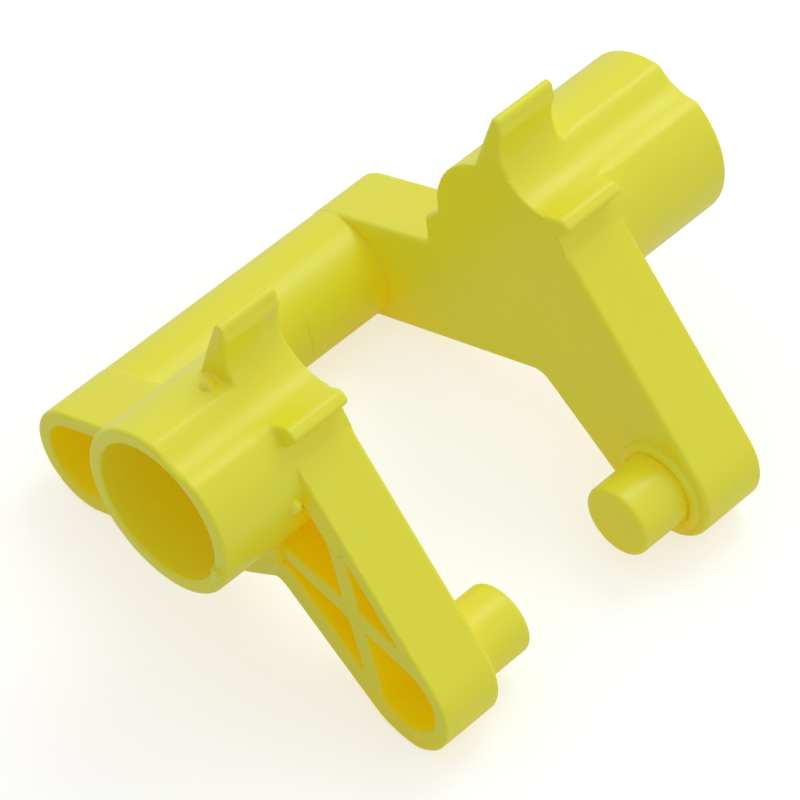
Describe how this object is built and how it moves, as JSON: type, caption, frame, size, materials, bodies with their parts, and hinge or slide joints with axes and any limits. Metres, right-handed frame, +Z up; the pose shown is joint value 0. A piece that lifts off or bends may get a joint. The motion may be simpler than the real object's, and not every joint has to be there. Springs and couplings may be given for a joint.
{
  "type": "pivot yoke lever",
  "caption": "Moulded plastic pivot yoke: hollow bosses on one axis, ribbed arms with inward pins, and a cross tube joining the forked flanges.",
  "frame": {"origin": "middle of the footprint, at the bottom, on the plane the yoke rests on", "axes": "+Y along the pivot axis towards the longer boss, +Z up with the yoke resting on its cross tube lobes and its two arm ends, +X from the cross tube towards the arm ends"},
  "size_m": [0.0842, 0.1044, 0.0623],
  "materials": {
    "yellow_plastic": "semi-gloss, moulded"
  },
  "bodies": {
    "root": {"pivot_yoke": "yellow_plastic"}
  },
  "joints": []
}
